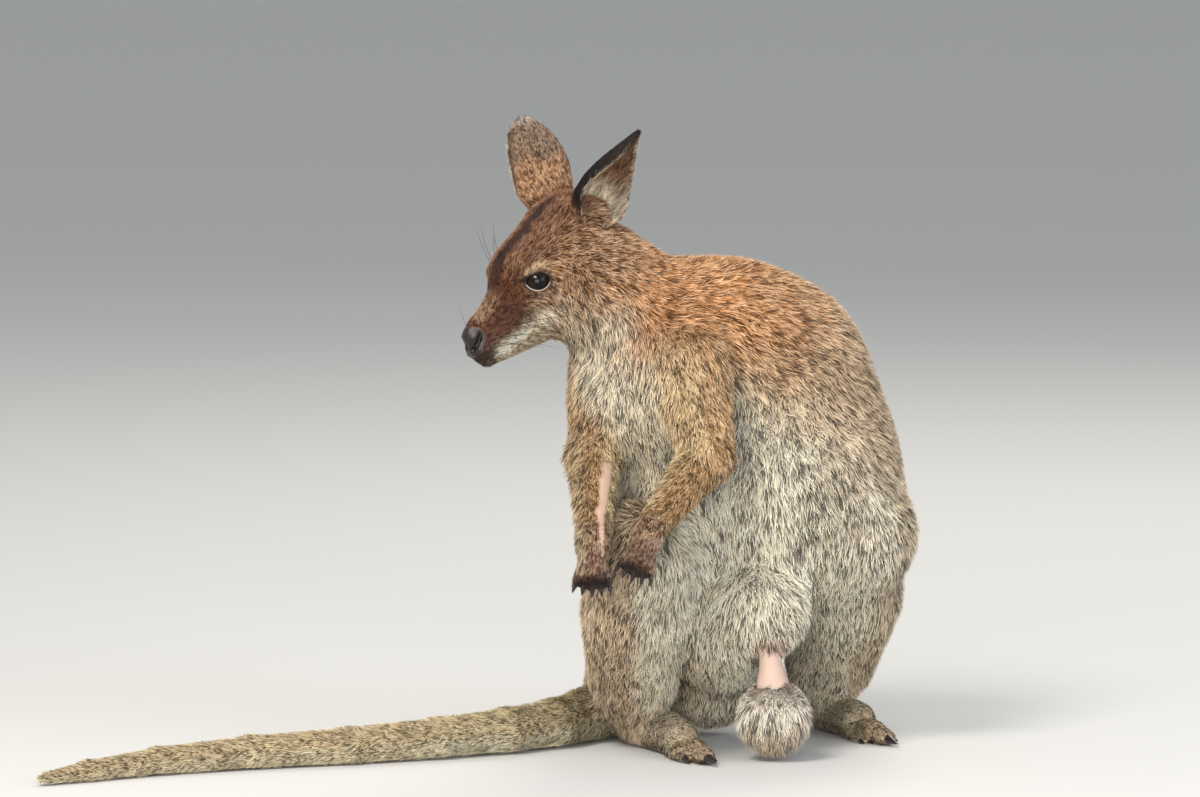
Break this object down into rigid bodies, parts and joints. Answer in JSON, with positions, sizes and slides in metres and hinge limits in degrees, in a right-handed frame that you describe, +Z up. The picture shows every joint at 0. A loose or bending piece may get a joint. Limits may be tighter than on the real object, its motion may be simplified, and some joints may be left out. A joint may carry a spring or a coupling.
{
  "type": "red-necked wallaby",
  "caption": "Adult male red-necked wallaby, life size, squatting upright with its hands hanging, its head turned to its right and its tail laid along the floor.",
  "frame": {"origin": "on the floor, under the middle of the bounding box", "axes": "+Z up; +X towards the animal's left knee, away from the tip of its tail; +Y towards its rump, away from the viewer"},
  "size_m": [0.7758, 0.461, 0.5668],
  "materials": {
    "head_coat": "short dense hair, rufous brown with a dark midline and pale cheek stripe",
    "neck_coat": "dense soft hair, rufous",
    "back_coat": "dense soft hair, grey-brown ticked with pale tips",
    "belly_coat": "long soft hair, pale cream-grey",
    "limb_coat": "short hair, tan to grey-brown",
    "tail_coat": "short stiff hair, pale grey-tan",
    "ear": "thin skin with very short hair",
    "paw_skin": "dark granular skin with short black hair",
    "bare_skin": "bare pinkish skin, furred below",
    "claw": "dark horn, satin",
    "eye": "dark brown, wet and glossy"
  },
  "bodies": {
    "root": {"eye_right": "eye", "ear_right": "ear", "eye_left": "eye", "ear_left": "ear", "head": "head_coat", "thigh_right": "limb_coat", "shin_right": "limb_coat", "upper_arm_right": "limb_coat", "thigh_left": "limb_coat", "shin_left": "limb_coat", "upper_arm_left": "limb_coat", "neck": "neck_coat", "thorax": "back_coat", "abdomen": "belly_coat", "rump": "back_coat", "forearm_right": "limb_coat", "claw_hand_right_1": "claw", "claw_hand_right_2": "claw", "claw_hand_right_3": "claw", "claw_hand_right_4": "claw", "claw_hand_right_5": "claw", "hand_right": "paw_skin", "forearm_left": "limb_coat", "claw_hand_left_1": "claw", "claw_hand_left_2": "claw", "claw_hand_left_3": "claw", "claw_hand_left_4": "claw", "claw_hand_left_5": "claw", "hand_left": "paw_skin", "claw_foot_right_2": "claw", "claw_foot_right_3": "claw", "claw_foot_right_4": "claw", "claw_foot_right_5": "claw", "foot_right": "limb_coat", "claw_foot_left_2": "claw", "claw_foot_left_3": "claw", "claw_foot_left_4": "claw", "claw_foot_left_5": "claw", "foot_left": "limb_coat", "tail_base": "tail_coat", "tail_middle": "tail_coat", "tail_end": "tail_coat", "scrotum": "bare_skin"}
  },
  "joints": []
}
